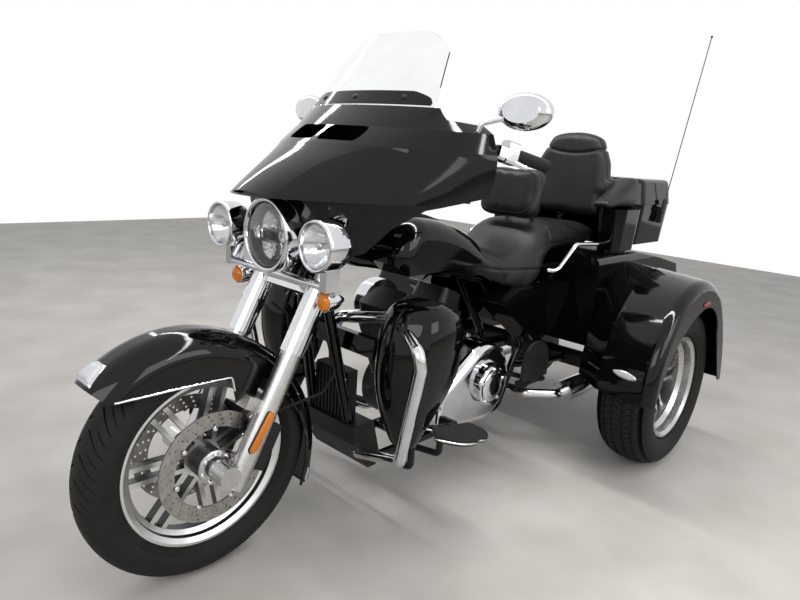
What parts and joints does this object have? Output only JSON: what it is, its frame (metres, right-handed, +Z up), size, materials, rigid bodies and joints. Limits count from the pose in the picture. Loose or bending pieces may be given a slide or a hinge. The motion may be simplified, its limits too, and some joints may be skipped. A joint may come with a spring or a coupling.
{
  "type": "motorized trike",
  "caption": "Touring trike with a steered front wheel, fork-mounted fairing, V-twin engine, two-up seat, luggage box and trunk between fendered rear wheels.",
  "frame": {"origin": "on the floor, midway along the machine, on its centre plane", "axes": "+X to the machine's left, +Y to its rear (the front faces -Y), +Z up"},
  "size_m": [1.39, 2.688, 1.741],
  "materials": {
    "gloss_black": "gloss black paint",
    "black_plastic": "matte black",
    "chrome": "polished",
    "satin_metal": "satin",
    "machined_alloy": "machined",
    "stainless": "ground",
    "tyre": "matte",
    "rubber": "matte",
    "leather": "satin black",
    "clear": "clear",
    "engine_black": "satin black",
    "lamp": "polished with clear lens",
    "amber": "clear amber",
    "red": "clear red",
    "mirror": "polished"
  },
  "bodies": {
    "chassis": {"frame": "gloss_black", "engine_cases": "engine_black", "cylinders": "engine_black", "primary_cover": "chrome", "air_cleaner": "chrome", "exhaust": "chrome", "fuel_tank": "gloss_black", "tank_console": "gloss_black", "seat": "leather", "rider_backrest": "leather", "backrest_post": "engine_black", "trunk_body": "gloss_black", "tail_lamps": "red", "rear_fenders": "gloss_black", "rear_axle": "engine_black", "lower_fairings": "gloss_black", "engine_guard": "chrome", "oil_cooler": "black_plastic", "luggage_box": "gloss_black", "speaker_pods": "gloss_black", "passenger_backrest": "leather", "antenna": "black_plastic", "grab_rails": "chrome", "side_covers": "gloss_black", "board_brackets": "engine_black"},
    "front_end": {"fork_sliders": "satin_metal", "fork_tubes": "satin_metal", "fork_clamps": "satin_metal", "brake_calipers": "engine_black", "brake_hoses": "rubber", "front_fender": "gloss_black", "fairing_shell": "gloss_black", "headlamp": "lamp", "passing_lamps": "lamp", "turn_signals": "amber", "lamp_bar": "chrome", "windshield": "clear", "handlebar": "engine_black", "grips": "rubber", "hand_levers": "satin_metal", "mirrors": "mirror", "fairing_dash": "black_plastic"},
    "front_wheel": {"front_tyre": "tyre", "front_rim": "machined_alloy", "front_discs": "stainless"},
    "rear_wheel_left": {"rear_tyre_left": "tyre", "rear_rim_left": "machined_alloy"},
    "rear_wheel_right": {"rear_tyre_right": "tyre", "rear_rim_right": "machined_alloy"},
    "footboard_left": {"footboard_left": "rubber"},
    "footboard_right": {"footboard_right": "rubber"},
    "passenger_board_left": {"passenger_board_left": "black_plastic"},
    "passenger_board_right": {"passenger_board_right": "black_plastic"},
    "luggage_lid": {"luggage_lid": "gloss_black"},
    "trunk_door": {"trunk_door": "gloss_black"}
  },
  "joints": [
    {"name": "steering", "type": "hinge", "parent": "chassis", "child": "front_end", "pos_m": [0, -0.97801, 0.29137], "axis": [0, 0.4617, 0.887], "range_deg": [-30, 30]},
    {"name": "front_wheel_spin", "type": "hinge", "parent": "front_end", "child": "front_wheel", "pos_m": [0, -1.033, 0.32], "axis": [1, 0, 0], "continuous": true},
    {"name": "rear_wheel_left_spin", "type": "hinge", "parent": "chassis", "child": "rear_wheel_left", "pos_m": [0.5475, 0.637, 0.323], "axis": [1, 0, 0], "continuous": true},
    {"name": "rear_wheel_right_spin", "type": "hinge", "parent": "chassis", "child": "rear_wheel_right", "pos_m": [-0.5475, 0.637, 0.323], "axis": [1, 0, 0], "continuous": true},
    {"name": "footboard_left_fold", "type": "hinge", "parent": "chassis", "child": "footboard_left", "pos_m": [0.286, -0.383, 0.326], "axis": [0, -0.9823, 0.1874], "range_deg": [0, 25]},
    {"name": "footboard_right_fold", "type": "hinge", "parent": "chassis", "child": "footboard_right", "pos_m": [-0.286, -0.383, 0.326], "axis": [0, 0.9823, -0.1874], "range_deg": [0, 25]},
    {"name": "passenger_board_left_fold", "type": "hinge", "parent": "chassis", "child": "passenger_board_left", "pos_m": [0.296, 0.133, 0.356], "axis": [0, 1, 0], "range_deg": [0, 85]},
    {"name": "passenger_board_right_fold", "type": "hinge", "parent": "chassis", "child": "passenger_board_right", "pos_m": [-0.296, 0.133, 0.356], "axis": [0, -1, 0], "range_deg": [0, 85]},
    {"name": "luggage_lid_hinge", "type": "hinge", "parent": "chassis", "child": "luggage_lid", "pos_m": [-0.292, 1.044, 0.99], "axis": [0, -1, 0], "range_deg": [0, 75]},
    {"name": "trunk_door_hinge", "type": "hinge", "parent": "chassis", "child": "trunk_door", "pos_m": [0, 1.325, 0.478], "axis": [-1, 0, 0], "range_deg": [0, 90]}
  ]
}
